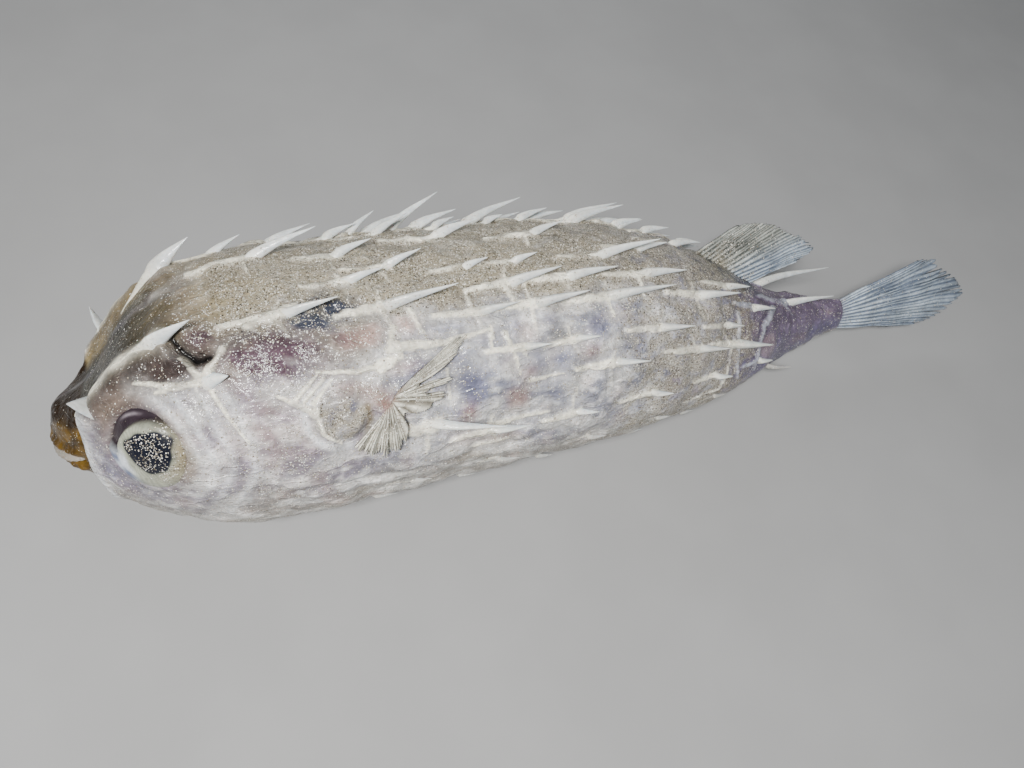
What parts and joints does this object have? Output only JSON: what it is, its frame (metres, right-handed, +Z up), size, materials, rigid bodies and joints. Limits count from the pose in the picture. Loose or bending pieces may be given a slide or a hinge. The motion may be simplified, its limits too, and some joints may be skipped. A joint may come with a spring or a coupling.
{
  "type": "burrfish model",
  "caption": "Still, life-size deepwater burrfish lying on its belly and right side, left side up, with flat leaning spines, folded fins and a beak-like mouth.",
  "frame": {"origin": "centre of the bounding box in plan, on the floor that the belly rests on", "axes": "+X from the snout to the tail, +Z up from the floor, -Y to the side that the fish's left flank faces"},
  "size_m": [0.3968, 0.0986, 0.095],
  "materials": {
    "skin": "damp satin, sand-speckled",
    "fin": "satin",
    "eye": "wet",
    "tooth": "satin"
  },
  "bodies": {
    "root": {"head": "skin", "trunk_front": "skin", "trunk_rear": "skin", "peduncle": "skin", "dorsal_fin": "fin", "anal_fin": "fin", "caudal_fin": "fin", "pectoral_fin_left": "fin", "pectoral_fin_right": "fin", "eye_left": "eye", "eye_right": "eye", "beak_upper": "tooth", "beak_lower": "tooth"}
  },
  "joints": []
}
